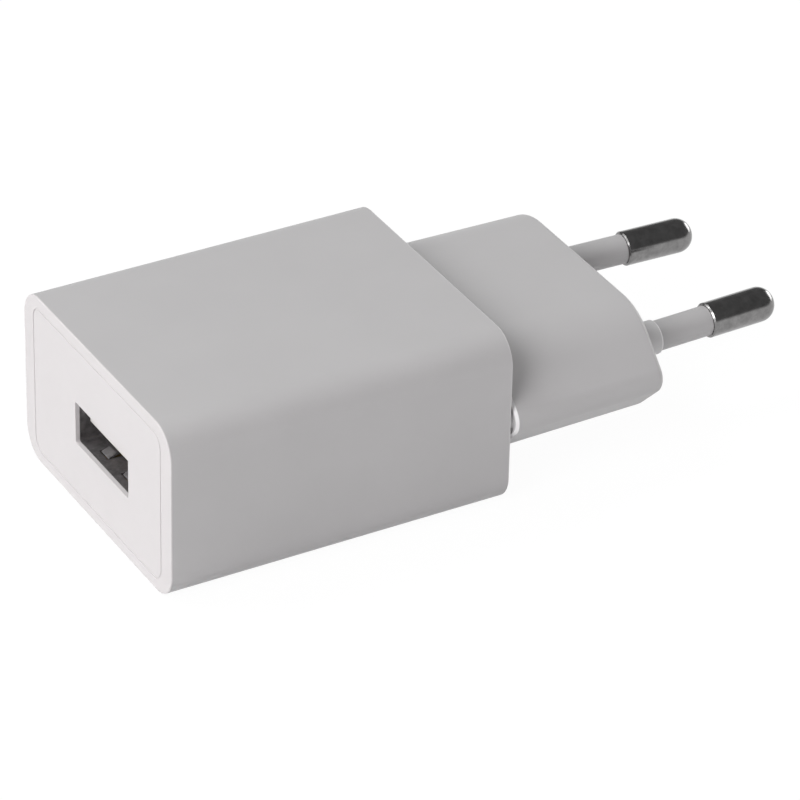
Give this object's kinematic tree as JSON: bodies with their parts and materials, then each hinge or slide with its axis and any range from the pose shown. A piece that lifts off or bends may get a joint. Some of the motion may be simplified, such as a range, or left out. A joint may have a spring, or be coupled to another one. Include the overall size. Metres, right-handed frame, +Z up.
{
  "type": "usb wall charger",
  "caption": "Flat block-shaped wall charger with a USB-A socket in its white front cap and a two-pin Europlug on a hexagonal boss at the rear.",
  "frame": {"origin": "under the middle of the whole charger, on the surface that its broad side rests on", "axes": "+X from the USB face to the pin tips, +Y to the left as seen from the USB face's rear, +Z up, off the broad side"},
  "size_m": [0.0796, 0.0358, 0.021],
  "materials": {
    "housing_grey": "fine matt moulded, pale grey",
    "cap_white": "satin moulded, white",
    "sleeve_grey": "satin moulded, grey",
    "pin_nickel": "nickel plated, lightly brushed round",
    "socket_steel": "nickel plated pressed sheet",
    "socket_white": "moulded, white",
    "contact_gold": "gold flashed phosphor bronze",
    "board_green": "solder resist over glass fibre",
    "ferrite": "sintered, matt black",
    "bobbin_black": "moulded phenolic",
    "copper_wire": "enamelled copper under clear tape",
    "tape_yellow": "polyester tape",
    "can_black": "shrink sleeve over an aluminium can",
    "tinned_wire": "tinned",
    "solder": "bright solder",
    "chip_black": "moulded epoxy",
    "chip_tan": "ceramic",
    "disc_blue": "dipped epoxy",
    "coil_green": "lacquered",
    "resistor_grey": "flameproof lacquer",
    "lead_brown": "PVC insulation, brown",
    "lead_blue": "PVC insulation, blue"
  },
  "bodies": {
    "charger": {"bridge_rectifier": "chip_black", "bridge_rectifier_legs": "tinned_wire", "chip_capacitors": "chip_tan", "chip_resistors": "chip_black", "circuit_board": "board_green", "controller_chip": "chip_black", "controller_chip_legs": "tinned_wire", "filter_inductor": "coil_green", "filter_inductor_leads": "tinned_wire", "front_cap": "cap_white", "fusible_resistor": "resistor_grey", "fusible_resistor_leads": "tinned_wire", "input_capacitor_leads": "tinned_wire", "input_capacitor_left": "can_black", "input_capacitor_right": "can_black", "line_lead": "lead_brown", "line_pin": "pin_nickel", "line_pin_sleeve": "sleeve_grey", "neutral_lead": "lead_blue", "neutral_pin": "pin_nickel", "neutral_pin_sleeve": "sleeve_grey", "outer_sleeve": "housing_grey", "output_capacitor_leads": "tinned_wire", "output_capacitor_left": "can_black", "output_capacitor_right": "can_black", "output_diode": "chip_black", "output_diode_legs": "tinned_wire", "plug_base": "housing_grey", "solder_joints": "solder", "transformer_bobbin": "bobbin_black", "transformer_core_front": "ferrite", "transformer_core_rear": "ferrite", "transformer_pins": "tinned_wire", "transformer_tape": "tape_yellow", "transformer_winding": "copper_wire", "usb_contact_tails": "contact_gold", "usb_insulator": "socket_white", "usb_shell": "socket_steel", "y_capacitor": "disc_blue", "y_capacitor_leads": "tinned_wire"},
    "contact_spring_1": {"usb_contact_1": "contact_gold"},
    "contact_spring_2": {"usb_contact_2": "contact_gold"},
    "contact_spring_3": {"usb_contact_3": "contact_gold"},
    "contact_spring_4": {"usb_contact_4": "contact_gold"},
    "lower_left_finger": {"usb_finger_lower_left": "socket_steel"},
    "lower_right_finger": {"usb_finger_lower_right": "socket_steel"},
    "upper_left_finger": {"usb_finger_upper_left": "socket_steel"},
    "upper_right_finger": {"usb_finger_upper_right": "socket_steel"}
  },
  "joints": [
    {"name": "contact_1_flex", "type": "hinge", "parent": "charger", "child": "contact_spring_1", "pos_m": [-0.0287, -0.0047, 0.0106], "axis": [0, 1, 0], "range_deg": [0, 3.6], "stiffness_Nm_per_rad": 0.09},
    {"name": "contact_2_flex", "type": "hinge", "parent": "charger", "child": "contact_spring_2", "pos_m": [-0.0287, -0.0022, 0.0106], "axis": [0, 1, 0], "range_deg": [0, 3.6], "stiffness_Nm_per_rad": 0.09},
    {"name": "contact_3_flex", "type": "hinge", "parent": "charger", "child": "contact_spring_3", "pos_m": [-0.0287, -0.0002, 0.0106], "axis": [0, 1, 0], "range_deg": [0, 3.6], "stiffness_Nm_per_rad": 0.09},
    {"name": "contact_4_flex", "type": "hinge", "parent": "charger", "child": "contact_spring_4", "pos_m": [-0.0287, 0.0023, 0.0106], "axis": [0, 1, 0], "range_deg": [0, 3.6], "stiffness_Nm_per_rad": 0.09},
    {"name": "lower_left_finger_flex", "type": "hinge", "parent": "charger", "child": "lower_left_finger", "pos_m": [-0.03334, 0.00135, 0.00754], "axis": [0, -1, 0], "range_deg": [0, 5], "stiffness_Nm_per_rad": 0.1},
    {"name": "lower_right_finger_flex", "type": "hinge", "parent": "charger", "child": "lower_right_finger", "pos_m": [-0.03334, -0.00375, 0.00754], "axis": [0, -1, 0], "range_deg": [0, 5], "stiffness_Nm_per_rad": 0.1},
    {"name": "upper_left_finger_flex", "type": "hinge", "parent": "charger", "child": "upper_left_finger", "pos_m": [-0.03334, 0.00135, 0.01296], "axis": [0, 1, 0], "range_deg": [0, 5], "stiffness_Nm_per_rad": 0.1},
    {"name": "upper_right_finger_flex", "type": "hinge", "parent": "charger", "child": "upper_right_finger", "pos_m": [-0.03334, -0.00375, 0.01296], "axis": [0, 1, 0], "range_deg": [0, 5], "stiffness_Nm_per_rad": 0.1}
  ]
}
